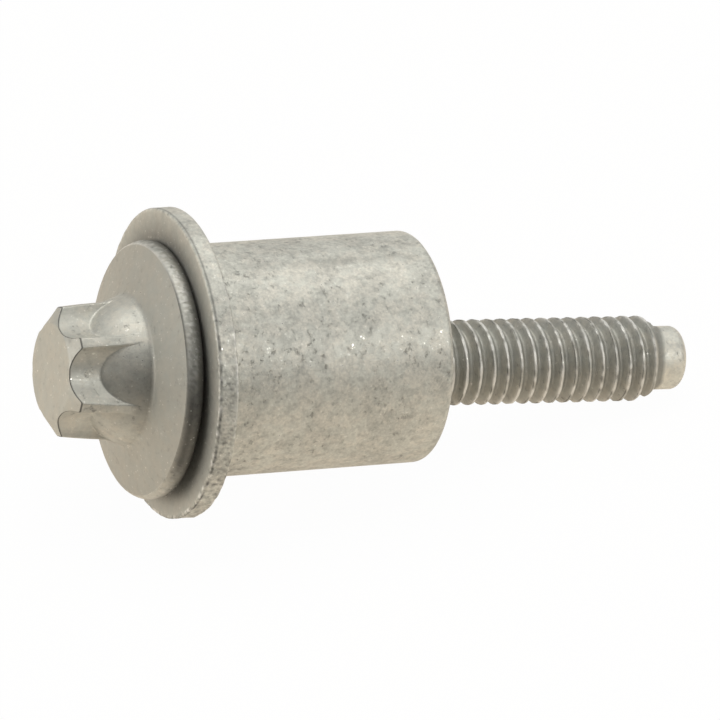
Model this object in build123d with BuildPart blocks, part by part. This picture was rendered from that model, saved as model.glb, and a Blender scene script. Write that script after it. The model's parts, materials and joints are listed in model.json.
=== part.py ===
"""Valve cover bolt: a six-lobe flange bolt lying in its loose flanged spacer sleeve.

The sleeve lies on its flange's rim and on the edge of its far end. The bolt droops in the
sleeve's hole until the end of its thread rests on the same surface.
Millimetres and degrees. +X runs from the head to the tip, and +Z is up.
"""

from build123d import *
from math import asin, atan2, cos, degrees, hypot, radians, sin, tan
import os

os.makedirs("parts", exist_ok=True)

# Six-lobe head, measured along the bolt from the flange's seat back to the end of the head
head_length = 7.26
head_end_radius = 4.25
head_crown = 0.17
head_base_radius = 4.52
head_base_height = 3.0
end_face_radius = 3.2
end_chamfer_angle = 30
lobe_count = 6
lobe_turn = 3.6
flute_radius = 2.58
flute_floor_radius = 3.15
land_edge_round = 0.1

# Shoulder that the flutes run out on, from the head down to the flange's sloping face
shoulder_top_radius = 2.9
shoulder_top_height = 5.25
shoulder_waist_radius = 4.4
shoulder_waist_height = 3.5
shoulder_base_radius = 4.95
shoulder_base_height = 2.05
shoulder_root_round = 0.35

# Flange of the bolt
flange_front_radius = 8.3
flange_back_radius = 8.45
flange_belly_radius = 8.52
flange_thickness = 1.1

# Plain shank, M6 thread at its outside size, and the pilot point
shank_radius = 2.65
shank_length = 17.0
thread_radius = 2.87
thread_length = 17.6
thread_chamfer_angle = 25
point_radius = 2.13
point_length = 1.9
point_round = 0.6

# Flanged sleeve
sleeve_length = 17.72
sleeve_radius = 7.69
sleeve_end_round = 0.35
collar_radius = 10.25
collar_thickness = 1.36
collar_round = 0.16
collar_root_round = 0.3
neck_radius = 3.36
neck_length = 4.0
relief_radius = 5.25

# Clearances
neck_clearance = 0.06
rim_clearance = 0.08
floor_clearance = 0.02


# Slope at which the sleeve lies: the line that touches the collar's back edge and the far edge
back_edge = (collar_thickness - collar_round, collar_radius - collar_round)
far_edge = (sleeve_length - sleeve_end_round, sleeve_radius - sleeve_end_round)
edge_span = hypot(far_edge[0] - back_edge[0], back_edge[1] - far_edge[1])
sleeve_slope = atan2(back_edge[1] - far_edge[1], far_edge[0] - back_edge[0]) + asin(
    (collar_round - sleeve_end_round) / edge_span
)
sleeve_height = back_edge[0] * sin(sleeve_slope) + back_edge[1] * cos(sleeve_slope) + collar_round

# Slope at which the bolt lies: its thread's end on the floor, its shank on the lower inside edge of
# the neck, at the neck's inner end if the bolt slopes more than the sleeve and else at its outer end
axis_over_pivot = shank_radius + neck_clearance
thread_end = shank_length + thread_length
bolt_slope = sleeve_slope
for settle in range(6):
    droop = bolt_slope - sleeve_slope
    pivot_length = neck_length if droop >= 0 else 0
    pivot_height = sleeve_height - pivot_length * sin(sleeve_slope) - neck_radius * cos(sleeve_slope)
    rim_lean = flange_belly_radius * abs(sin(droop))
    stand_off = rim_clearance + axis_over_pivot * sin(droop) + rim_lean
    reach = thread_end - pivot_length - stand_off
    chord = hypot(reach, thread_radius - axis_over_pivot)
    bolt_slope = asin((pivot_height - floor_clearance) / chord) - atan2(
        thread_radius - axis_over_pivot, reach
    )

# Directions along and across each axis, in the upright plane that both axes lie in
sleeve_along = Vector(cos(sleeve_slope), 0, -sin(sleeve_slope))
sleeve_across = Vector(sin(sleeve_slope), 0, cos(sleeve_slope))
bolt_along = Vector(cos(bolt_slope), 0, -sin(bolt_slope))
bolt_across = Vector(sin(bolt_slope), 0, cos(bolt_slope))

# Places of both seats, with the origin under the middle of the whole length
chamfer_length = (thread_radius - point_radius) / tan(radians(thread_chamfer_angle))
point_start = thread_end + chamfer_length
bolt_tip = point_start + point_length
pivot_x = pivot_length * cos(sleeve_slope) - neck_radius * sin(sleeve_slope)
seat_from_pivot = bolt_across * axis_over_pivot - bolt_along * (pivot_length + stand_off)
seat_from_sleeve = Vector(pivot_x, 0, pivot_height - sleeve_height) + seat_from_pivot
tip_x = (
    seat_from_sleeve.X
    + (bolt_tip - point_round) * cos(bolt_slope)
    + (point_radius - point_round) * sin(bolt_slope)
    + point_round
)
head_x = seat_from_sleeve.X - head_length * cos(bolt_slope) - end_face_radius * sin(bolt_slope)
sleeve_seat = Vector(-(tip_x + head_x) / 2, 0, sleeve_height)
bolt_seat = sleeve_seat + seat_from_sleeve

# Profile planes hold the radius in their first direction and the length in their second
sleeve_profile = Plane(sleeve_seat, x_dir=sleeve_across, z_dir=sleeve_across.cross(sleeve_along))
bolt_profile = Plane(bolt_seat, x_dir=bolt_across, z_dir=bolt_across.cross(bolt_along))
sleeve_axis = Axis(sleeve_seat, sleeve_along)
bolt_axis = Axis(bolt_seat, bolt_along)
head_plane = Plane(bolt_seat, x_dir=bolt_across, z_dir=bolt_along).offset(-head_length)

# Bolt: the head's barrel is fluted first, so that the flutes run out on the shoulder added after
with BuildPart() as bolt:
    chamfer_height = (head_end_radius - end_face_radius) * tan(radians(end_chamfer_angle))
    barrel_end = -head_length + chamfer_height
    barrel_middle = (barrel_end - head_base_height) / 2
    with BuildSketch(bolt_profile):
        with BuildLine():
            Polyline(
                (head_end_radius, barrel_end),
                (end_face_radius, -head_length),
                (0, -head_length),
                (0, -head_base_height),
                (head_base_radius, -head_base_height),
            )
            ThreePointArc(
                (head_base_radius, -head_base_height),
                (head_end_radius + head_crown, barrel_middle),
                (head_end_radius, barrel_end),
            )
        make_face()
    revolve(axis=bolt_axis)
    with BuildSketch(head_plane):
        with PolarLocations(flute_floor_radius + flute_radius, lobe_count, start_angle=lobe_turn):
            Circle(flute_radius)
    extrude(amount=head_length - head_base_height, mode=Mode.SUBTRACT)
    flute_walls = bolt.faces().filter_by(GeomType.CYLINDER)
    land_edges = [
        edge
        for edge in flute_walls.edges().filter_by(GeomType.LINE, reverse=True)
        if edge.length > (head_length - head_base_height) / 2
    ]
    fillet(land_edges, radius=land_edge_round)
    with BuildSketch(bolt_profile) as bolt_half:
        with BuildLine():
            Polyline(
                (flange_back_radius, 0),
                (shank_radius, 0),
                (shank_radius, shank_length - thread_radius + shank_radius),
                (thread_radius, shank_length),
                (thread_radius, thread_end),
                (point_radius, point_start),
                (point_radius, bolt_tip - point_round),
            )
            RadiusArc(
                (point_radius, bolt_tip - point_round),
                (point_radius - point_round, bolt_tip),
                -point_round,
            )
            Polyline(
                (point_radius - point_round, bolt_tip),
                (0, bolt_tip),
                (0, -shoulder_top_height),
                (shoulder_top_radius, -shoulder_top_height),
            )
            ThreePointArc(
                (shoulder_top_radius, -shoulder_top_height),
                (shoulder_waist_radius, -shoulder_waist_height),
                (shoulder_base_radius, -shoulder_base_height),
            )
            Line((shoulder_base_radius, -shoulder_base_height), (flange_front_radius, -flange_thickness))
            ThreePointArc(
                (flange_front_radius, -flange_thickness),
                (flange_belly_radius, -flange_thickness / 2),
                (flange_back_radius, 0),
            )
        make_face()
        shoulder_root = bolt_half.vertices().sort_by_distance((shoulder_base_radius, -shoulder_base_height))
        fillet(shoulder_root[0], radius=shoulder_root_round)
    revolve(axis=bolt_axis)
bolt.part.label = "bolt"
export_step(bolt.part, "parts/bolt.step")

# Sleeve: one turned piece, its collar at the bolt's flange and its wider bore open at the far end
with BuildPart() as sleeve:
    with BuildSketch(sleeve_profile):
        with BuildLine():
            FilletPolyline(
                (neck_radius, 0),
                (collar_radius, 0),
                (collar_radius, collar_thickness),
                (sleeve_radius, collar_thickness),
                (sleeve_radius, sleeve_length),
                (relief_radius, sleeve_length),
                radius=[collar_round, collar_round, collar_root_round, sleeve_end_round],
            )
            Polyline(
                (relief_radius, sleeve_length),
                (relief_radius, neck_length),
                (neck_radius, neck_length),
                (neck_radius, 0),
            )
        make_face()
    revolve(axis=sleeve_axis)
sleeve.part.label = "sleeve"
export_step(sleeve.part, "parts/sleeve.step")
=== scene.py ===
"""Valve cover bolt lying in its loose flanged spacer sleeve.

Both pieces are surfaces worked out round their own axis: each place is (length along the axis,
radius, angle from the side that lies up), in millimetres, and becomes metres when its mesh is made.
"""

import json
from math import cos, pi, radians, sin, tan

import bpy
from mathutils import Matrix, Vector
import numpy as np


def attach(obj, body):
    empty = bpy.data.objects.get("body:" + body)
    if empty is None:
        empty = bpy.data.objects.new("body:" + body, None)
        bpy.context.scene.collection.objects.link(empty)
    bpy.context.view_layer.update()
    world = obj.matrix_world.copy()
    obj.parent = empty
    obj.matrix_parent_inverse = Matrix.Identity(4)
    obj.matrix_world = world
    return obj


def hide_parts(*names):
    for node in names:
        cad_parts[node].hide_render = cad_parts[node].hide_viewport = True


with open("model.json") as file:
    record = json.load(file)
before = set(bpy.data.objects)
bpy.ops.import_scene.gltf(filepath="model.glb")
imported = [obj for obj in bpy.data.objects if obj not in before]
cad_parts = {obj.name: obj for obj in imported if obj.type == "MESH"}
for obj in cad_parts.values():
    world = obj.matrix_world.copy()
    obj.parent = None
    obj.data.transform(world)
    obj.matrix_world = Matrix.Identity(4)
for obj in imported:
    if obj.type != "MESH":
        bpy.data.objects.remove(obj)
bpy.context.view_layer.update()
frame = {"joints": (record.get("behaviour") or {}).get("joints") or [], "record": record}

# Camera
# A long lens on the near side, turned towards the head's end and looking well down on the bolt.
mm = 0.001
view_azimuth = radians(-21.07)
view_elevation = radians(32.53)
view_roll = radians(0.42)
view_distance = 650
aim_right = -0.385
aim_up = 6.065
photo_width = 720
pixels_per_mm = 15.007
sensor_width = 36

view_back = Vector(
    (
        sin(view_azimuth) * cos(view_elevation),
        -cos(view_azimuth) * cos(view_elevation),
        sin(view_elevation),
    )
)
view_right = Vector((cos(view_azimuth), sin(view_azimuth), 0))
view_up = view_back.cross(view_right)
view_right = view_right * cos(view_roll) - view_up * sin(view_roll)
view_up = view_back.cross(view_right)
eye = (view_right * aim_right + view_up * aim_up + view_back * view_distance) * mm
camera_data = bpy.data.cameras.new("Camera")
camera_data.sensor_width = sensor_width
camera_data.lens = pixels_per_mm * view_distance * sensor_width / photo_width
camera_data.clip_start = 0.01
camera = bpy.data.objects.new("Camera", camera_data)
view_turn = Matrix((view_right, view_up, view_back)).transposed()
camera.matrix_world = Matrix.Translation(eye) @ view_turn.to_4x4()
bpy.context.scene.collection.objects.link(camera)
bpy.context.scene.camera = camera

# Bolt
# One forged and rolled piece: a six-lobe head whose flutes run out on a round shoulder, a sloping
# flange, a plain shank, an M6 thread and a pilot point. Steel, dull grey zinc flake coat.
head_length = 7.26
head_end_radius = 4.25
head_crown = 0.14
head_base_radius = 4.52
head_base_height = 3.0
end_face_radius = 3.2
end_chamfer = radians(30)
lobe_count = 6
lobe_turn = radians(3.6)
flute_radius = 2.58
flute_centre = 5.73
land_edge = 0.11
least_chamfer = 0.04
least_land_radius = 4.0
flute_steps = 30
land_steps = 6

shoulder_start = (-5.25, 2.9)
shoulder_middle = (-3.5, 4.4)
shoulder_end = (-2.05, 4.95)
shoulder_root = 0.25
flute_root = 0.14
land_root = 0.35
flange_radii = (8.3, 8.52, 8.45)
flange_thickness = 1.1
flange_hole = 5.2
flange_roughness = 0.014

shank_radius = 2.65
shank_length = 17.0
thread_radius = 2.87
thread_root = 2.35
thread_pitch = 1.0
thread_start = shank_length - 0.3
thread_run_in = 0.8
thread_end = 34.6
thread_chamfer = radians(25)
thread_end_round = 2.5
thread_phase = 0.96
run_out_lean = 0.3
run_out_short_side = radians(70)
crest_half = 0.09
crest_wander = 0.018
noise_radius = 3
crest_rows = (0.04, 0.08, 0.12, 0.2, 0.36, 0.43)
thread_columns = 160
point_radius = 2.13
point_step = 2.34
point_round = 0.6
bolt_tip = 38.087
point_start = thread_end + (thread_radius - point_step) / tan(thread_chamfer)
thread_tone = 0.82
point_tone = 1.27
rim_front_tone = 0.8
rim_back_tone_and_shade = 0.2
rim_side_shade = 0.32
flange_tone = 0.84
land_tone = 0.92
run_out_tone = 0.95
shoulder_shade_tone = 0.61
shoulder_foot_shade = 0.92
flange_shade_share = 0.1
rim_low_light = 0.3
crest_wear_and_highlight = 0.65
rim_fleck_highlight = 0.24
rim_edge_highlight = 0.35
rim_edge_dark_line = 0.7
front_grime = 0.9
front_side_grime = 0.6
root_shade = 0.3
crest_flank_shade = 0.8
point_step_shade = 0.55
end_calm = 0.6
# Angles from the top over which the head's shoulder and the flange's cone get painted shade
painted_shade_side = np.radians([35, 70, 88, 122])
rim_upper_side = np.radians([50, 75])
rim_lower_side = np.radians([105, 130])
floor_side = np.radians([115, 150])


def uneven(places, shortest, longest, seed, waves=28):
    """Roughness at each place: a sum of sine waves in seeded random directions, of about -1 to 1.

    Each wave has a random length between the shortest and the longest, in mm, and a random start.
    """
    draw = np.random.default_rng(seed)
    direction = draw.normal(size=(waves, 3))
    direction /= np.linalg.norm(direction, axis=1, keepdims=True)
    length = draw.uniform(shortest, longest, waves)
    start = draw.uniform(0, 2 * pi, waves)
    total = sum(np.sin(places @ (2 * pi / s * d) + p) for d, s, p in zip(direction, length, start))
    return total * np.sqrt(2 / waves) / 2


def arc_through(first, middle, last):
    """Centre and radius of the circle through three (length, radius) points.

    The centre is equally far from all three, which gives two straight equations for it.
    """
    a, b, c = (np.array(p, float) for p in (first, middle, last))
    centre = np.linalg.solve(2 * np.array([b - a, c - a]), [b @ b - a @ a, c @ c - a @ a])
    return centre, np.linalg.norm(a - centre)


def along_line(start, end, steps):
    """Points from start to end in equal steps, without the start itself."""
    share = np.linspace(0, 1, steps + 1)[1:, None]
    return np.array(start) + share * (np.array(end) - np.array(start))


def on_arc(first, middle, last, steps):
    """Points round the circle through three points, from first to last, without first itself."""
    centre, radius = arc_through(first, middle, last)
    turn = [np.arctan2(*(np.array(p) - centre)) for p in (first, last)]
    angle = np.linspace(turn[0], turn[1], steps + 1)[1:]
    return centre + radius * np.stack([np.sin(angle), np.cos(angle)], 1)


def as_rows(outline, angle, grime_and_shade=0.0, wear_and_highlight=0.0, tone_and_shading=1.0):
    """Rows round the axis: each (length, radius) of the outline is turned to every angle.

    A place holds its length, radius and angle, and the coat's marks there: grime and painted shade,
    wear and painted highlights, and tone with painted light and shade.
    """
    rows = np.zeros((len(outline), len(angle), 6))
    rows[:, :, 0:2] = np.array(outline)[:, None, :]
    rows[:, :, 2] = angle
    rows[:, :, 3] = grime_and_shade
    rows[:, :, 4] = wear_and_highlight
    rows[:, :, 5] = tone_and_shading
    return rows


def soften(rows, corner, width, grime_and_shade=0.0, wear_and_highlight=0.0):
    """One corner row becomes five: two on each side of it, and between them their mean with it."""
    edge = rows[corner].copy()

    def towards(other):
        span = np.maximum(np.hypot(other[:, 0] - edge[:, 0], other[:, 1] - edge[:, 1]), 1e-6)
        share = np.minimum(width / span, 0.45)[:, None]
        return edge + (other - edge) * share, edge + (other - edge) * share * 1.8

    before = towards(rows[corner - 1])[::-1]
    after = towards(rows[corner + 1])
    middle = (before[1] + 2 * edge + after[0]) / 4
    middle[:, 3] += grime_and_shade
    middle[:, 4] += wear_and_highlight
    return np.concatenate([rows[:corner], before, [middle], after, rows[corner + 1 :]])


def smooth_max(first, second, width):
    """The larger of two values, rounded where they are closer than width."""
    near = np.maximum(width - np.abs(first - second), 0) / width
    return np.maximum(first, second) + near**2 * width / 4


def bump(values, middle, width):
    """A smooth rise to 1 at the middle: e to the power of minus the squared distance in widths."""
    return np.exp(-(((values - middle) / width) ** 2))


def from_top(angle):
    """Angle from the side that lies up, brought to within half a turn of it."""
    return np.mod(angle + pi, 2 * pi) - pi


def around(rows):
    """Quads between neighbouring rows of point numbers, closed round the axis and facing outwards."""
    here, there = rows[:-1], rows[1:]
    corners = [here, np.roll(here, -1, 1), np.roll(there, -1, 1), there]
    return np.stack(corners, -1).reshape(-1, 4)


def place(rows, seat, along, across):
    """Local (length, radius, angle) turned into metres in the frame: seat + along and across parts."""
    side = np.cross(along, across)
    length, radius, angle = (rows[..., k, None] for k in range(3))
    return seat + (length * along + radius * (np.cos(angle) * across + np.sin(angle) * side)) * mm


def make_piece(name, points, faces, marks):
    """A smooth mesh object at the origin from points, lists of faces and named values of its points."""
    mesh = bpy.data.meshes.new(name)
    mesh.from_pydata(points.tolist(), [], [face for group in faces for face in group.tolist()])
    for mark, values in marks.items():
        attribute = mesh.attributes.new(mark, "FLOAT", "POINT")
        attribute.data.foreach_set("value", values.astype(np.float32))
    mesh.shade_smooth()
    piece = bpy.data.objects.new(name, mesh)
    bpy.context.scene.collection.objects.link(piece)
    return piece


# Head: one row pattern round the six lobes, its columns kept on the edges of the lands
def lobe_section(rim):
    """Angle and radius at each column from a flute's middle to a land's middle, for a barrel radius.

    Columns go round the flute's circle to just before the rim, over a small rounded edge, and then
    round the barrel to the land's middle.
    """
    reach = flute_centre**2 + flute_radius**2
    edge_turn = np.arccos((reach - rim**2) / (2 * flute_centre * flute_radius))
    step = np.arange(flute_steps + 1) / flute_steps
    flute_turn = (edge_turn[:, : flute_steps + 1] - land_edge / flute_radius) * step
    x = flute_centre - flute_radius * np.cos(flute_turn)
    y = flute_radius * np.sin(flute_turn)
    edge_x = flute_centre - flute_radius * np.cos(edge_turn)
    edge_y = flute_radius * np.sin(edge_turn)
    corner = np.arctan2(edge_y, edge_x)[:, flute_steps:]
    rim = rim[:, flute_steps:]
    land = corner + land_edge / rim
    share = np.array([0.25, 0.5, 0.75])
    tips = [x[:, -1:], rim[:, 1:4] * np.cos(corner[:, 1:4]), rim[:, 1:4] * np.cos(land[:, 1:4])]
    sides = [y[:, -1:], rim[:, 1:4] * np.sin(corner[:, 1:4]), rim[:, 1:4] * np.sin(land[:, 1:4])]
    weights = [(1 - share) ** 2, 2 * share * (1 - share), share**2]
    round_x = sum(w * p for w, p in zip(weights, tips))
    round_y = sum(w * p for w, p in zip(weights, sides))
    step = np.arange(land_steps + 1) / land_steps
    land_angle = land[:, 4:] + (pi / lobe_count - land[:, 4:]) * step
    angle = np.concatenate([np.arctan2(y, x), np.arctan2(round_y, round_x), land_angle], 1)
    radius = np.concatenate([np.hypot(x, y), np.hypot(round_x, round_y), rim[:, 4:]], 1)
    return angle, radius


def all_lobes(half):
    """Half a lobe's columns, mirrored and repeated round the head.

    Each half is its values and whether they change sign in the mirror, as angles do.
    """
    value, signed = half
    mirrored = -value[:, :0:-1] if signed else value[:, :0:-1]
    sector = np.concatenate([mirrored, value[:, :-1]], 1)
    turned = [sector + signed * 2 * pi / lobe_count * k for k in range(lobe_count)]
    return np.concatenate(turned, 1)


def barrel(length):
    """Radius of the head's barrel: a straight taper with a slight crown, round beyond the chamfer."""
    share = (np.maximum(length, barrel_end) + head_base_height) / (barrel_end + head_base_height)
    taper = head_base_radius + (head_end_radius - head_base_radius) * share
    return taper + head_crown * share * (1 - share)


def on_cone(radius):
    """Length at which the end chamfer's cone has a radius; the flat end inside it."""
    return -head_length + np.maximum(radius - end_face_radius, 0) * tan(end_chamfer)


barrel_end = -head_length + (head_end_radius - end_face_radius) * tan(end_chamfer)
shoulder_centre, shoulder_radius = arc_through(shoulder_start, shoulder_middle, shoulder_end)


def shoulder_at(radius):
    """Length at which the shoulder's round profile has a radius."""
    rise = np.sqrt(shoulder_radius**2 - (radius - shoulder_centre[1]) ** 2)
    return shoulder_centre[0] - rise


def shoulder_radius_at(length):
    """Radius of the shoulder's round profile at a length."""
    away = np.minimum(np.abs(length - shoulder_centre[0]), shoulder_radius)
    return shoulder_centre[1] + np.sqrt(shoulder_radius**2 - away**2)


half_columns = flute_steps + 4 + land_steps + 1
front_angle, front_radius = lobe_section(np.full((1, half_columns), head_end_radius))
face_radius = np.minimum(end_face_radius, front_radius - least_chamfer)
run_out = np.full((1, half_columns), shoulder_middle[0])
for settle in range(12):
    run_out = shoulder_at(lobe_section(barrel(run_out))[1])

patches = []
for share in (0.3, 0.6, 0.85, 1.0):
    patches.append((np.full_like(face_radius, -head_length), face_radius * share, front_angle))
end_row = len(patches) - 1
for share in (0.25, 0.5, 0.75, 1.0):
    radius = face_radius + (front_radius - face_radius) * share
    patches.append((on_cone(radius), radius, front_angle))
front_row = len(patches) - 1
root_width = np.where(front_radius > head_end_radius - 0.15, land_root, flute_root)
wall_rows = 18
for share in 1 - (1 - np.arange(1, wall_rows + 1) / wall_rows) ** 1.5:
    length = on_cone(front_radius) * (1 - share) + run_out * share
    angle, radius = lobe_section(barrel(length))
    patches.append((length, smooth_max(radius, shoulder_radius_at(length), root_width), angle))
run_out_row = len(patches) - 1
shoulder_rows = 16
shoulder_stop = shoulder_end[0] - shoulder_root
for share in (np.arange(1, shoulder_rows + 1) / shoulder_rows) ** 1.3:
    length = run_out * (1 - share) + shoulder_stop * share
    radius = smooth_max(lobe_section(barrel(length))[1], shoulder_radius_at(length), root_width)
    patches.append((length, radius, angle))
head_rows = as_rows(np.zeros((len(patches), 2)), np.zeros(2 * lobe_count * (half_columns - 1)))
for row, (length, radius, angle) in zip(head_rows, patches):
    row[:, 0] = all_lobes((length, False))
    row[:, 1] = all_lobes((radius, False))
    row[:, 2] = all_lobes((angle, True)) + lobe_turn

# Head's tones: the lands a little darker, and painted shade on the shoulder over one range of angles,
# darkest on the shoulder itself
run_out_radius = head_rows[run_out_row, :, 1]
wall_tone = np.where(run_out_radius > least_land_radius, land_tone, 1)
head_rows[front_row + 1 : run_out_row, :, 5] = wall_tone
on_shaded_side = np.interp(from_top(head_rows[..., 2]), painted_shade_side, (0, 1, 1, 0))
on_land = np.interp(run_out_radius, (3.3, 4.1), (0, 1))
into_shoulder = np.clip(np.arange(shoulder_rows + 1) / 8, 0, 1)[:, None]
darkening = on_shaded_side[run_out_row:] * (1 - on_land * (1 - into_shoulder))
head_rows[run_out_row:, :, 5] = run_out_tone - (run_out_tone - shoulder_shade_tone) * darkening

# Flange: the cone from the shoulder, the rolled rim and the flat back, down to the shank
head_angle = head_rows[-1, :, 2]
root_rows = 8
flange_rows = 12
rim_rows = 8
back_rows = 5
cone_start = np.array(shoulder_end)
cone_end = np.array((-flange_thickness, flange_radii[0]))
root_before = np.array((shoulder_stop, shoulder_radius_at(shoulder_stop)))
cone_way = (cone_end - cone_start) / np.linalg.norm(cone_end - cone_start)
root_after = cone_start + cone_way * shoulder_root
share = np.linspace(0, 1, root_rows + 1)[1:, None]
root_line = root_before * (1 - share) ** 2 + root_after * share**2
root_line += cone_start * 2 * share * (1 - share)
cone_line = along_line(root_after, cone_end, flange_rows)
rim_arc = on_arc(
    (-flange_thickness, flange_radii[0]),
    (-flange_thickness / 2, flange_radii[1]),
    (0, flange_radii[2]),
    rim_rows,
)
back_line = along_line((0, flange_radii[2]), (0, flange_hole), back_rows)
even_angle = head_angle[0] + np.arange(len(head_angle)) * 2 * pi / len(head_angle)
flange_line = np.concatenate([root_line, cone_line, rim_arc, back_line])
outer_rows = np.concatenate([head_rows, as_rows(flange_line, head_angle)])
blend = np.linspace(0, 1, back_rows + 1)[1:, None]
outer_rows[-back_rows:, :, 2] = head_angle * (1 - blend) + even_angle * blend
rim_row = len(head_rows) - 1 + root_rows + flange_rows
back_row = rim_row + rim_rows
# The flange's cone: its own tone, with painted shade on the side where the shoulder has it
outer_rows[len(head_rows) : rim_row + 1, :, 5] = flange_tone * (1 - flange_shade_share * on_shaded_side[-1])
# Painted shade in the fillet at the shoulder's foot: the shoulder's shade, a little darker, fading into
# the cone
into_cone = np.linspace(0, 1, root_rows + 3)[1:-1, None] ** 3
outer_rows[len(head_rows) : len(head_rows) + root_rows + 1, :, 5] = (
    head_rows[-1, :, 5] * shoulder_foot_shade * (1 - into_cone) + flange_tone * into_cone
)
# The rim darkens towards its back and the flat back stays dark: partly the rim's own darker coat,
# partly painted shade from the gap and the sleeve's collar
rim_tones_and_shade = np.linspace(rim_front_tone, rim_back_tone_and_shade, rim_rows)
outer_rows[rim_row + 1 : back_row + 1, :, 5] = rim_tones_and_shade[:, None]
outer_rows[back_row + 1 :, :, 5] = rim_back_tone_and_shade
# Painted shade along the flange's back edge, at the gap to the sleeve
outer_rows = soften(outer_rows, back_row, width=0.06, grime_and_shade=0.2)
outer_rows = soften(outer_rows, rim_row, width=0.05)
outer_rows = soften(outer_rows, front_row, width=0.07, grime_and_shade=front_grime)
outer_rows[front_row + 3, :, 3] = front_side_grime
outer_rows = soften(outer_rows, end_row, width=0.05)

# Shank, thread and point: helical rows, cut off square at the shank and at a slight lean at the end
thread_angle = even_angle[::3][:thread_columns]
shank_line = [(0, 4.6), (0, 3.4), (0, 2.85), (0.03, 2.68), (0.2, shank_radius), (8, shank_radius)]
shank_rows = as_rows(shank_line, thread_angle)
phases = np.concatenate([[0], 0.5 - np.array(crest_rows[::-1]), 0.5 + np.array(crest_rows)])
rows_per_turn = len(phases)
helix_row = np.arange(rows_per_turn * int(point_start - thread_start + 5))
turns = helix_row // rows_per_turn + phases[helix_row % rows_per_turn] - 2 + thread_phase
column = np.arange(thread_columns)
helix = thread_start + thread_pitch * (turns[:, None] + column / thread_columns)
first = np.abs(helix - thread_start).argmin(0)

# The thread's last turn ends at a lean, but not on the side that rests on the floor
off_floor = np.interp(np.abs(from_top(thread_angle)), floor_side, (1, 0))
long_side = np.clip(1.3 * (1 - np.cos(thread_angle - run_out_short_side)), 0, 1)
lean = run_out_lean * off_floor * long_side
last = np.abs(helix - point_start - lean).argmin(0)
kept = (helix_row[:, None] >= first) & (helix_row[:, None] <= last)
helix[first, column] = thread_start
helix[last, column] = point_start + lean


def thread_profile(length, angle):
    """Radius of the thread: flat crests, 60 degree flanks and round roots along a right-hand helix.

    The distance from the crest's middle follows from the length less the pitch times the turn. The
    crest wanders a little. The run-in near the shank lowers it, and so does the end's chamfer, which
    is rounded except on the side that lies on the floor.
    """
    turn = (length - thread_start) / thread_pitch - angle / (2 * pi) - thread_phase
    away = np.abs(turn % 1 - 0.5) * thread_pitch
    places = np.stack([length, noise_radius * np.cos(angle), noise_radius * np.sin(angle)], -1)
    half = crest_half + crest_wander * uneven(places, 0.6, 2.4, seed=3)
    crest = thread_radius - crest_wander + crest_wander * uneven(places, 0.35, 1.4, seed=4)
    flank = crest - np.maximum(away - half, 0) * np.sqrt(3)
    valley = thread_radius - (thread_pitch / 2 - crest_half) * np.sqrt(3)
    root_round = thread_root - valley
    inside = np.clip(thread_pitch / 2 - away, 0, root_round)
    root = thread_root + root_round - np.sqrt(root_round**2 - inside**2)
    radius = np.where(thread_pitch / 2 - away < root_round * cos(pi / 6), root, flank)
    rise = np.clip((length - thread_start) / thread_run_in, 0, 1)
    radius = shank_radius + (radius - shank_radius) * rise**2 * (3 - 2 * rise)
    share = np.clip((length - lean - thread_end) / (point_start - thread_end), 0, 1)
    share = share ** (1 + thread_end_round * off_floor)
    chamfer = thread_radius - (thread_radius - point_step) * share
    return np.minimum(radius, chamfer), away


thread_turn = np.broadcast_to(column * 2 * pi / thread_columns, helix.shape)
helix_radius, from_crest = thread_profile(helix, thread_turn)
# A broken line of painted shade on the flank just before each crest
before_crest = (helix - thread_start - thread_phase) / thread_pitch - thread_turn / (2 * pi)
before_crest = (before_crest % 1 < 0.5) & (from_crest > 0.06) & (from_crest < 0.1)
thread_sides = [noise_radius * np.cos(thread_turn), noise_radius * np.sin(thread_turn)]
thread_places = np.stack([helix, *thread_sides], -1)
broken = np.clip(0.5 + 1.1 * uneven(thread_places, 0.4, 2.2, seed=6), 0, 1)
# Painted shade in the thread's roots
in_root = np.interp(from_crest, (0.25, 0.5), (0, 1))
# Worn crests with a painted highlight along them, broken up
on_crest = np.interp(from_crest, (0.03, 0.18), (1, 0))
helix_rows = np.stack(
    [
        helix,
        helix_radius,
        np.broadcast_to(thread_angle, helix.shape),
        in_root * root_shade + before_crest * (1 - broken) * crest_flank_shade,
        on_crest * crest_wear_and_highlight * broken,
        np.full(helix.shape, thread_tone),
    ],
    -1,
)
point_line = np.concatenate(
    [
        [(point_start + 0.03, point_step - 0.04), (point_start + 0.08, point_radius + 0.02)],
        along_line((point_start + 0.12, point_radius), (bolt_tip - point_round, point_radius), 6),
        on_arc(
            (bolt_tip - point_round, point_radius),
            (
                bolt_tip - point_round * (1 - sin(pi / 4)),
                point_radius - point_round * (1 - cos(pi / 4)),
            ),
            (bolt_tip, point_radius - point_round),
            8,
        ),
        along_line((bolt_tip, point_radius - point_round), (bolt_tip, 0.4), 3),
    ]
)
point_rows = as_rows(point_line, thread_angle, tone_and_shading=point_tone)
# Painted shade in the step from the thread onto the point
point_rows[:3, :, 3] = point_step_shade
point_rows[:9, :, 0] += lean * np.clip(np.linspace(1.5, 0, 9), 0, 1)[:, None]

# Bolt's mesh
bolt_joint = next(joint for joint in frame["joints"] if joint["name"] == "bolt_spin")
bolt_seat = np.array(bolt_joint["pos_m"])
bolt_along = np.array(bolt_joint["axis"]) / np.linalg.norm(bolt_joint["axis"])
bolt_across = np.cross(bolt_along, [0, 1, 0])
bolt_across *= np.sign(bolt_across[2])

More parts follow.
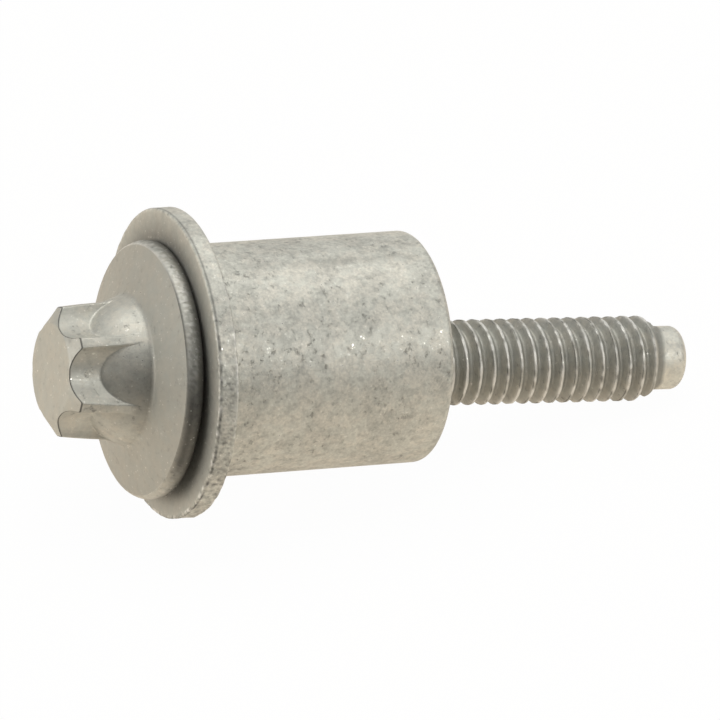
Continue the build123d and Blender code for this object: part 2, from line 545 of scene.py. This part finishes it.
outer_number = np.arange(outer_rows[..., 0].size).reshape(outer_rows.shape[:2])
shank_number = np.arange(shank_rows[..., 0].size).reshape(shank_rows.shape[:2]) + outer_number.size
helix_number = np.full(helix.shape, -1)
helix_number[kept] = shank_number.max() + 1 + np.arange(kept.sum())
point_number = np.arange(point_rows[..., 0].size).reshape(point_rows.shape[:2])
point_number += helix_number.max() + 1
start_ring = helix_number[first, column]
end_ring = helix_number[last, column]

next_number = np.roll(helix_number, -1, 1)
next_number[:, -1] = np.concatenate([helix_number[rows_per_turn:, 0], np.full(rows_per_turn, -1)])
cells = np.stack([helix_number[:-1], next_number[:-1], next_number[1:], helix_number[1:]], -1)
cells = cells.reshape(-1, 4)
corners = (cells >= 0).sum(1)
helix_quads = cells[corners == 4]
helix_corners = cells[corners == 3]
helix_corners = helix_corners[helix_corners >= 0].reshape(-1, 3)

wide = outer_number[-1].reshape(thread_columns, 3)
narrow = shank_number[0]
step_faces = np.stack(
    [
        wide[:, 0],
        wide[:, 1],
        wide[:, 2],
        np.roll(wide[:, 0], -1),
        np.roll(narrow, -1),
        narrow,
    ],
    -1,
)
poles = np.array([[-head_length, 0, 0, 0, 0, 1], [bolt_tip, 0, 0, 0, 0, point_tone]])
rows_at = [outer_rows, shank_rows, helix_rows[kept], point_rows, poles]
bolt_rows = np.concatenate([rows.reshape(-1, 6) for rows in rows_at])
head_pole, tip_pole = len(bolt_rows) - 2, len(bolt_rows) - 1
head_ring = outer_number[0]
tip_ring = point_number[-1]
head_fan = np.stack([np.full_like(head_ring, head_pole), np.roll(head_ring, -1), head_ring], -1)
tip_fan = np.stack([tip_ring, np.roll(tip_ring, -1), np.full_like(tip_ring, tip_pole)], -1)

# Rolled rim of the flange: rough, with painted shade on its sides and painted light below, painted
# highlights in flecks above and below and along its front edge, and a dark line along part of that edge
length, radius, angle = bolt_rows[:, 0], bolt_rows[:, 1].copy(), bolt_rows[:, 2]
local = np.stack([length, radius * np.cos(angle), radius * np.sin(angle)], -1)
on_rim = bump(length, -0.7 * flange_thickness, 0.4) * (radius > flange_radii[0] - 0.05)
on_edge = bump(length, -flange_thickness, 0.08)
turned = from_top(angle)
upper = np.interp(np.abs(turned), rim_upper_side, (1, 0))
lower = np.interp(np.abs(turned), rim_lower_side, (0, 1))
bolt_rows[:, 1] += flange_roughness * on_rim * (uneven(local, 0.3, 1.2, seed=5) - 0.6)
on_edge *= bolt_rows[:, 1] > flange_radii[0] - 0.06
# Painted highlights in flecks on the rim's upper and lower sides
rim_marks = np.clip(uneven(local, 0.2, 0.5, seed=7), 0, rim_fleck_highlight)
bolt_rows[:, 4] += on_rim * np.maximum(upper, 0.6 * lower) * rim_marks
# A painted highlight along the rim's front edge on its upper side
bolt_rows[:, 4] += rim_edge_highlight * on_edge * np.clip(np.cos(turned + radians(45)), 0, 1)
# A dark line along the rim's front edge, on one part of its upper side
bolt_rows[:, 3] += rim_edge_dark_line * on_edge * upper * np.clip(np.sin(turned) * 2, 0, 1)
# Painted shade on the rim's sides, and painted light on its lower side
bolt_rows[:, 5] *= 1 - (1 - rim_side_shade) * (1 - np.maximum(upper, lower)) * on_rim
bolt_rows[:, 5] += rim_low_light * lower * on_rim
on_cone_face = (length > shoulder_end[0]) & (length < -flange_thickness - 0.02)
calm_faces = (length < barrel_end) | on_cone_face
bolt_points = place(bolt_rows, bolt_seat, bolt_along, bolt_across)
bolt = make_piece(
    "flange_bolt",
    bolt_points,
    [
        head_fan,
        around(outer_number),
        step_faces,
        around(shank_number),
        around(np.stack([shank_number[-1], start_ring])),
        helix_quads,
        helix_corners,
        around(np.concatenate([[end_ring], point_number])),
        tip_fan,
    ],
    {
        "grime_and_shade": np.clip(bolt_rows[:, 3], 0, 1),
        "wear_and_highlight": np.clip(bolt_rows[:, 4], 0, 1),
        "tone_and_shading": bolt_rows[:, 5],
        "calm": calm_faces * end_calm,
    },
)


# Finish of both pieces: one group gives the coat its blotches, grains, grime and worn edges, and the
# painted shade and highlights carried in the same marks
def add(tree, kind, **inputs):
    """A new shader node, with inputs set to plain values or linked to other nodes' sockets."""
    made = tree.nodes.new("ShaderNode" + kind)
    for name, value in inputs.items():
        socket = made.inputs[name.replace("_", " ")]
        if isinstance(value, bpy.types.NodeSocket):
            tree.links.new(value, socket)
        else:
            socket.default_value = value
    return made


def ramp(tree, value, low, high, low_out=0.0, high_out=1.0):
    """A value mapped from low..high to low_out..high_out, smoothly and clamped."""
    made = tree.nodes.new("ShaderNodeMapRange")
    made.interpolation_type = "SMOOTHSTEP"
    tree.links.new(value, made.inputs["Value"])
    made.inputs["From Min"].default_value = low
    made.inputs["From Max"].default_value = high
    made.inputs["To Min"].default_value = low_out
    made.inputs["To Max"].default_value = high_out
    return made.outputs["Result"]


def blend_colours(tree, factor, first, second):
    """One colour passing into another as the factor goes from 0 to 1."""
    made = tree.nodes.new("ShaderNodeMix")
    made.data_type = "RGBA"
    for name, value in (("Factor", factor), ("A", first), ("B", second)):
        socket = next(s for s in made.inputs if s.name == name and s.enabled)
        if isinstance(value, bpy.types.NodeSocket):
            tree.links.new(value, socket)
        else:
            socket.default_value = value
    return next(s for s in made.outputs if s.enabled)


def join(tree, operation, first, second):
    """Two values added, multiplied or otherwise joined by a Math node."""
    made = tree.nodes.new("ShaderNodeMath")
    made.operation = operation
    for socket, value in zip(made.inputs, (first, second)):
        if isinstance(value, bpy.types.NodeSocket):
            tree.links.new(value, socket)
        else:
            socket.default_value = value
    return made.outputs[0]


blotch_share = 0.26
cloud_share = 0.4
grain_share = 0.38
calm_level = 0.55
sparkle_most = 0.55
pit_depth = 0.4
# The colour of bare metal at worn places and of the painted highlights
bare_metal_and_highlight = (0.9, 0.89, 0.85, 1)
coat = bpy.data.node_groups.new("Zinc flake coat", "ShaderNodeTree")
for socket_name, kind in (
    ("Dark", "NodeSocketColor"),
    ("Light", "NodeSocketColor"),
    ("Cool", "NodeSocketColor"),
    ("Grime and Shade", "NodeSocketColor"),
    ("Blotch Scale", "NodeSocketFloat"),
    ("Dullness", "NodeSocketFloat"),
    ("Grime and Shade Mask", "NodeSocketFloat"),
    ("Wear and Highlight Mask", "NodeSocketFloat"),
    ("Tone and Shading", "NodeSocketFloat"),
    ("Calm", "NodeSocketFloat"),
):
    coat.interface.new_socket(socket_name, in_out="INPUT", socket_type=kind)
for socket_name, kind in (
    ("Color", "NodeSocketColor"),
    ("Roughness", "NodeSocketFloat"),
    ("Height", "NodeSocketFloat"),
):
    coat.interface.new_socket(socket_name, in_out="OUTPUT", socket_type=kind)
given = coat.nodes.new("NodeGroupInput").outputs
where = coat.nodes.new("ShaderNodeTexCoord").outputs["Object"]
blotch_size = given["Blotch Scale"]
blotch = add(coat, "TexNoise", Vector=where, Scale=blotch_size, Detail=6.0, Roughness=0.68)
grain = add(coat, "TexNoise", Vector=where, Scale=5200.0, Detail=2.0, Roughness=0.6)
cloud = add(coat, "TexNoise", Vector=where, Scale=1900.0, Detail=4.0, Roughness=0.66)
speck = add(coat, "TexVoronoi", Vector=where, Scale=3600.0)
fleck_place = add(coat, "Mapping", Vector=where, Scale=(1.0, 0.75, 0.75))
fleck = fleck_place.outputs["Vector"]
pit = add(coat, "TexNoise", Vector=fleck, Scale=3000.0, Detail=3.0, Roughness=0.62)
tint = add(coat, "TexNoise", Vector=where, Scale=900.0, Detail=4.0, Roughness=0.62)

blotch_mask = ramp(coat, blotch.outputs["Fac"], 0.38, 0.58)
cloud_mask = ramp(coat, cloud.outputs["Fac"], 0.32, 0.6)
grain_mask = ramp(coat, grain.outputs["Fac"], 0.3, 0.7)
tint_mask = ramp(coat, tint.outputs["Fac"], 0.42, 0.58)
blotches = join(coat, "MULTIPLY", blotch_mask, blotch_share)
clouds = join(coat, "MULTIPLY", cloud_mask, cloud_share)
grains = join(coat, "MULTIPLY", grain_mask, grain_share)
mottle = join(coat, "ADD", join(coat, "ADD", blotches, clouds), grains)
stir = join(coat, "SUBTRACT", 1.0, given["Calm"])
calmed = join(coat, "MULTIPLY", given["Calm"], calm_level)
mottle = join(coat, "ADD", join(coat, "MULTIPLY", mottle, stir), calmed)
tinted = blend_colours(coat, tint_mask, given["Light"], given["Cool"])
plain = blend_colours(coat, mottle, given["Dark"], tinted)
plain = add(coat, "HueSaturation", Color=plain, Value=given["Tone and Shading"]).outputs["Color"]

sparkle = ramp(coat, speck.outputs["Distance"], 0.3, 0.1, 0.0, sparkle_most)
sparkle = join(coat, "MULTIPLY", sparkle, ramp(coat, cloud.outputs["Fac"], 0.5, 0.66))
# Wear and painted highlights turn the coat towards bare metal's colour
worn_and_highlit = join(coat, "MAXIMUM", sparkle, given["Wear and Highlight Mask"])
bright = blend_colours(coat, worn_and_highlit, plain, bare_metal_and_highlight)

pit_mask = ramp(coat, pit.outputs["Fac"], 0.46, 0.31)
pit_mask = join(coat, "MULTIPLY", pit_mask, ramp(coat, cloud.outputs["Fac"], 0.56, 0.42))
pit_blotches = join(coat, "MULTIPLY", stir, ramp(coat, blotch.outputs["Fac"], 0.6, 0.46))
pit_mask = join(coat, "MULTIPLY", pit_mask, pit_blotches)
# Pits, grime and painted shade darken the coat towards the grime colour
dirt_and_shade = join(coat, "MAXIMUM", join(coat, "MULTIPLY", pit_mask, pit_depth), given["Grime and Shade Mask"])
finished = blend_colours(coat, dirt_and_shade, bright, given["Grime and Shade"])

rough = join(coat, "ADD", join(coat, "MULTIPLY", grain_mask, 0.12), given["Dullness"])
rough = join(coat, "ADD", rough, join(coat, "MULTIPLY", dirt_and_shade, 0.25))
rough = join(coat, "SUBTRACT", rough, join(coat, "MULTIPLY", sparkle, 0.7))
height = join(coat, "SUBTRACT", join(coat, "MULTIPLY", grain.outputs["Fac"], 0.5), pit_mask)
given_out = coat.nodes.new("NodeGroupOutput").inputs
coat.links.new(finished, given_out["Color"])
coat.links.new(rough, given_out["Roughness"])
coat.links.new(height, given_out["Height"])


def zinc_material(name, dark, light, cool, grime_and_shade, blotch_scale, dullness, metallic, bump):
    """Zinc flake coat in a piece's own tones, with the mesh's marks for grime and painted shade, wear
    and painted highlights, tone with painted light and shade, and calm.
    """
    material = bpy.data.materials.new(name)
    material.use_nodes = True
    tree = material.node_tree
    shader = tree.nodes["Principled BSDF"]
    shader.inputs["Metallic"].default_value = metallic
    group = tree.nodes.new("ShaderNodeGroup")
    group.node_tree = coat
    group.inputs["Dark"].default_value = dark
    group.inputs["Light"].default_value = light
    group.inputs["Cool"].default_value = cool
    group.inputs["Grime and Shade"].default_value = grime_and_shade
    group.inputs["Blotch Scale"].default_value = blotch_scale
    group.inputs["Dullness"].default_value = dullness
    marks = {"grime_and_shade": "Grime and Shade Mask", "wear_and_highlight": "Wear and Highlight Mask", "tone_and_shading": "Tone and Shading", "calm": "Calm"}
    for mark, socket_name in marks.items():
        attribute = tree.nodes.new("ShaderNodeAttribute")
        attribute.attribute_name = mark
        tree.links.new(attribute.outputs["Fac"], group.inputs[socket_name])
    relief = add(tree, "Bump", Height=group.outputs["Height"], Strength=bump, Distance=0.00003)
    tree.links.new(group.outputs["Color"], shader.inputs["Base Color"])
    tree.links.new(group.outputs["Roughness"], shader.inputs["Roughness"])
    tree.links.new(relief.outputs["Normal"], shader.inputs["Normal"])
    return material


bolt.data.materials.append(
    zinc_material(
        "bolt zinc flake",
        dark=(0.42, 0.42, 0.385, 1),
        light=(0.60, 0.578, 0.508, 1),
        cool=(0.575, 0.572, 0.515, 1),
        grime_and_shade=(0.08, 0.08, 0.075, 1),
        blotch_scale=420.0,
        dullness=0.48,
        metallic=0.7,
        bump=0.35,
    )
)
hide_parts("bolt")
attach(bolt, "bolt")

# Sleeve
# A turned steel spacer, zinc flake coated and loose on the shank, with a thin collar at the bolt's
# flange. The collar's rim is rough and a little hollow. The bore is narrow there and wider behind.
sleeve_length = 17.72
sleeve_radius = 7.69
sleeve_end_round = 0.45
collar_radius = 10.25
collar_thickness = 1.36
collar_round = 0.16
collar_root_round = 0.3
neck_radius = 3.36
neck_length = 4.0
relief_radius = 5.25
rim_roughness = 0.017
ragged_edge = 0.012
rim_hollow = 0.05
rim_wear_and_glint_share = 0.8
front_line_grime = 0.65
face_calm = 0.65
streak_angle = radians(8.3)
streak_width = radians(3)
glint_angle = radians(55)
glint_reach = radians(30)
edge_break = 0.06
sleeve_columns = 480

body_seat = next(mount for mount in frame["record"]["mounts"] if mount["name"] == "grommet_seat")
sleeve_along = np.array(body_seat["axis"]) / np.linalg.norm(body_seat["axis"])
sleeve_across = np.cross(sleeve_along, [0, 1, 0])
sleeve_across *= np.sign(sleeve_across[2])
body_middle = collar_thickness + collar_root_round + body_seat["dims"]["length_mm"] / 2
sleeve_seat = np.array(body_seat["pos_m"]) - sleeve_along * body_middle * mm


def rounded(corner, before, after, radius, steps=5):
    """A quarter circle at a square corner, from the side of before to the side of after."""
    corner = np.array(corner, float)
    to_before = np.sign(np.array(before) - corner) * radius
    to_after = np.sign(np.array(after) - corner) * radius
    centre = corner + to_before + to_after
    angle = np.linspace(0, pi / 2, steps)[:, None]
    return centre - to_after * np.cos(angle) - to_before * np.sin(angle)


face_inner = (0, neck_radius)
face_outer = (0, collar_radius)
collar_back = (collar_thickness, collar_radius)
collar_root = (collar_thickness, sleeve_radius)
far_outer = (sleeve_length, sleeve_radius)
far_inner = (sleeve_length, relief_radius)
step_outer = (neck_length, relief_radius)
step_inner = (neck_length, neck_radius)
sleeve_line = np.concatenate(
    [
        rounded(face_inner, step_inner, face_outer, edge_break, 3),
        along_line((0, neck_radius + edge_break), (0, collar_radius - collar_round - 0.15), 14),
        rounded(face_outer, face_inner, collar_back, collar_round),
        along_line(
            (collar_round, collar_radius),
            (collar_thickness - collar_round, collar_radius),
            8,
        )[:-1],
        rounded(collar_back, face_outer, collar_root, collar_round),
        along_line(
            (collar_thickness, collar_radius - collar_round),
            (collar_thickness, sleeve_radius + collar_root_round + 0.1),
            4,
        ),
        rounded(collar_root, collar_back, far_outer, collar_root_round),
        along_line(
            (collar_thickness + collar_root_round + 0.1, sleeve_radius),
            (sleeve_length - sleeve_end_round - 0.1, sleeve_radius),
            26,
        ),
        rounded(far_outer, collar_root, far_inner, sleeve_end_round, 7),
        along_line(
            (sleeve_length, sleeve_radius - sleeve_end_round),
            (sleeve_length, relief_radius + edge_break + 0.1),
            5,
        ),
        rounded(far_inner, far_outer, step_outer, edge_break, 3),
        along_line((sleeve_length - 0.2, relief_radius), (neck_length + 0.1, relief_radius), 8),
        rounded(step_outer, far_inner, step_inner, edge_break, 3),
        along_line((neck_length, relief_radius - 0.1), (neck_length, neck_radius + 0.15), 3),
        rounded(step_inner, step_outer, face_inner, edge_break, 3),
        along_line((neck_length - 0.1, neck_radius), (0.15, neck_radius), 5),
    ]
)
sleeve_angle = np.arange(sleeve_columns) * 2 * pi / sleeve_columns
sleeve_rows = as_rows(sleeve_line, sleeve_angle)
length, radius, angle = (sleeve_rows[..., k] for k in range(3))
local = np.stack([length, radius * np.cos(angle), radius * np.sin(angle)], -1)

# Collar's rim: rough, and hollow between its two edges, less so on top, with worn flecks and painted
# glints along its edges. Its face: painted shade, darker near the bolt
on_rim = (radius > collar_radius - collar_round * 1.2) & (length < collar_thickness + 0.01)
rough_rim = uneven(local, 0.35, 1.1, seed=11) + 0.8 * uneven(local, 1.5, 6, seed=12) - 0.8
roughened = np.clip((0.9 - np.cos(angle)) / 0.5, 0.15, 1)
rim_edges = bump(length, 0, 0.2) + bump(length, collar_thickness, 0.2)
ragged = uneven(local, 0.22, 0.6, seed=15) * rim_edges
hollow = 1 - np.clip(rim_edges, 0, 1)
relief = rim_roughness * rough_rim + ragged_edge * ragged - rim_hollow * hollow
sleeve_rows[..., 1] += on_rim * roughened * relief
sparkle = np.clip(3 * uneven(local, 0.25, 0.8, seed=13) - 0.8, 0, 1)
front_line = bump(length, 0.14, 0.05 + 0.04 * roughened)
gaps = 0.8 * uneven(local, 0.3, 1.5, seed=16) - 0.3
front_line *= np.clip(1 + roughened * gaps, 0, 1)
front_face = (length < 0.01) & (radius < collar_radius - collar_round - 0.05)
# Painted shade on the collar's front face, darkest next to the bolt's flange
sleeve_rows[..., 5] = np.where(front_face, np.interp(radius, (8.5, 9.9), (0.5, 0.88)), 1)
# A painted glint along part of the collar's back edge
back_glint = bump(length, collar_thickness - 0.08, 0.07)
back_glint *= np.clip(np.cos(3 * (angle - glint_angle)), 0, 1)
back_glint *= np.abs(angle - glint_angle) < glint_reach
back_glint *= np.clip(0.4 + uneven(local, 0.4, 1.6, seed=18), 0, 1)
# Worn flecks and painted glints along the rim's edges, more away from the top
edge_wear_and_glints = rim_edges * sparkle * roughened * rim_wear_and_glint_share
sleeve_rows[..., 4] = on_rim * np.maximum(edge_wear_and_glints, back_glint)
rim_grime = roughened * np.clip(0.12 + 0.34 * uneven(local, 0.2, 0.5, seed=14), 0, 1)
sleeve_rows[..., 3] = on_rim * (front_line * front_line_grime + rim_grime)

# A faint darker streak along the top of the body
body_ends = (2, 4, sleeve_length - 1.2, sleeve_length - 0.6)
streak = bump(angle, streak_angle, streak_width) * np.interp(length, body_ends, (0, 1, 1, 0))
streak *= np.clip(0.17 + 0.07 * uneven(local, 0.6, 4, seed=17), 0, 0.28)
sleeve_rows[..., 3] += streak * (radius > relief_radius + 1)

# Sleeve's mesh
sleeve_number = np.arange(length.size).reshape(length.shape)
closed_number = np.concatenate([sleeve_number, sleeve_number[:1]])
sleeve_points = place(sleeve_rows, sleeve_seat, sleeve_along, sleeve_across).reshape(-1, 3)
sleeve = make_piece(
    "spacer_sleeve",
    sleeve_points,
    [around(closed_number)],
    {
        "grime_and_shade": sleeve_rows[..., 3].ravel(),
        "wear_and_highlight": sleeve_rows[..., 4].ravel(),
        "tone_and_shading": sleeve_rows[..., 5].ravel(),
        "calm": front_face.ravel() * face_calm,
    },
)
sleeve.data.materials.append(
    zinc_material(
        "sleeve zinc flake",
        dark=(0.375, 0.375, 0.342, 1),
        light=(0.71, 0.688, 0.612, 1),
        cool=(0.672, 0.672, 0.607, 1),
        grime_and_shade=(0.10, 0.10, 0.095, 1),
        blotch_scale=330.0,
        dullness=0.5,
        metallic=0.6,
        bump=0.8,
    )
)
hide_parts("sleeve")
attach(sleeve, "sleeve")

# Floor
# A plain white sheet that runs on past the picture's edges. It shows white and keeps a soft shadow.
# Glossy rays see it glow with a painted reflection, dark near the front and warm behind.
floor_reach = 1.5
floor_corners = np.array([(-1, -1, 0), (1, -1, 0), (1, 1, 0), (-1, 1, 0)]) * floor_reach
floor_mesh = bpy.data.meshes.new("floor")
floor_mesh.from_pydata(floor_corners.tolist(), [], [(0, 1, 2, 3)])
floor = bpy.data.objects.new("floor", floor_mesh)
bpy.context.scene.collection.objects.link(floor)
floor_material = bpy.data.materials.new("white sheet")
floor_material.use_nodes = True
tree = floor_material.node_tree
tree.nodes["Principled BSDF"].inputs["Base Color"].default_value = (0.86, 0.82, 0.75, 1)
tree.nodes["Principled BSDF"].inputs["Roughness"].default_value = 0.9
# Painted reflection: the colour metal sees in the sheet, dark towards the camera and warm behind the
# pieces
near_reflection = (0.09, 0.1, 0.1, 1)
far_reflection = (1.0, 0.88, 0.74, 1)
glow_share = 0.975
path = tree.nodes.new("ShaderNodeLightPath").outputs
place_on_floor = tree.nodes.new("ShaderNodeTexCoord").outputs["Object"]
depth = add(tree, "SeparateXYZ", Vector=place_on_floor).outputs["Y"]
behind = ramp(tree, depth, -0.07, -0.024)
reflected = blend_colours(tree, behind, near_reflection, far_reflection)
shade = blend_colours(tree, path["Is Camera Ray"], reflected, (1, 1, 1, 1))
glow = add(tree, "Emission", Color=shade, Strength=1.0)
seen = join(tree, "MAXIMUM", path["Is Camera Ray"], path["Is Glossy Ray"])
seen = join(tree, "MAXIMUM", seen, path["Is Transmission Ray"])
mix = tree.nodes.new("ShaderNodeMixShader")
tree.links.new(join(tree, "MULTIPLY", seen, glow_share), mix.inputs[0])
tree.links.new(tree.nodes["Principled BSDF"].outputs[0], mix.inputs[1])
tree.links.new(glow.outputs[0], mix.inputs[2])
tree.links.new(mix.outputs[0], tree.nodes["Material Output"].inputs["Surface"])
floor_mesh.materials.append(floor_material)

# Light
# A large soft box overhead, smaller ones from the head's side and the front, and a white surround
# that is darker on the camera's side.
def soft_box(name, position, target, size, power, colour):
    """A square area lamp that faces the target."""
    data = bpy.data.lights.new(name, "AREA")
    data.size = size
    data.energy = power
    data.color = colour
    lamp = bpy.data.objects.new(name, data)
    lamp.location = position
    lamp.rotation_mode = "QUATERNION"
    lamp.rotation_quaternion = (Vector(position) - Vector(target)).to_track_quat("Z", "Y")
    bpy.context.scene.collection.objects.link(lamp)


middle = (0, 0, 0.01)
surround_near = 0.11
surround_far = 0.5
soft_box(
    "overhead box",
    position=(0.02, 0.08, 0.38),
    target=middle,
    size=0.34,
    power=0.92,
    colour=(1.0, 0.985, 0.945),
)
soft_box(
    "head side box",
    position=(-0.42, 0.05, 0.1),
    target=middle,
    size=0.26,
    power=0.5,
    colour=(1.0, 0.97, 0.92),
)
soft_box(
    "front box",
    position=(0.19, -0.29, 0.19),
    target=middle,
    size=0.1,
    power=0.4,
    colour=(1.0, 0.99, 0.96),
)
world = bpy.data.worlds.new("World")
bpy.context.scene.world = world
world.use_nodes = True
tree = world.node_tree
surround = tree.nodes["Background"]
path = tree.nodes.new("ShaderNodeLightPath").outputs
direction = tree.nodes.new("ShaderNodeTexCoord").outputs["Generated"]
depth = add(tree, "SeparateXYZ", Vector=direction).outputs["Y"]
level = ramp(tree, depth, -0.95, 0.2, surround_near, surround_far)
strength = join(tree, "MAXIMUM", path["Is Camera Ray"], level)
tree.links.new(strength, surround.inputs["Strength"])
surround.inputs["Color"].default_value = (1, 1, 1, 1)
bpy.context.scene.view_settings.view_transform = "Standard"
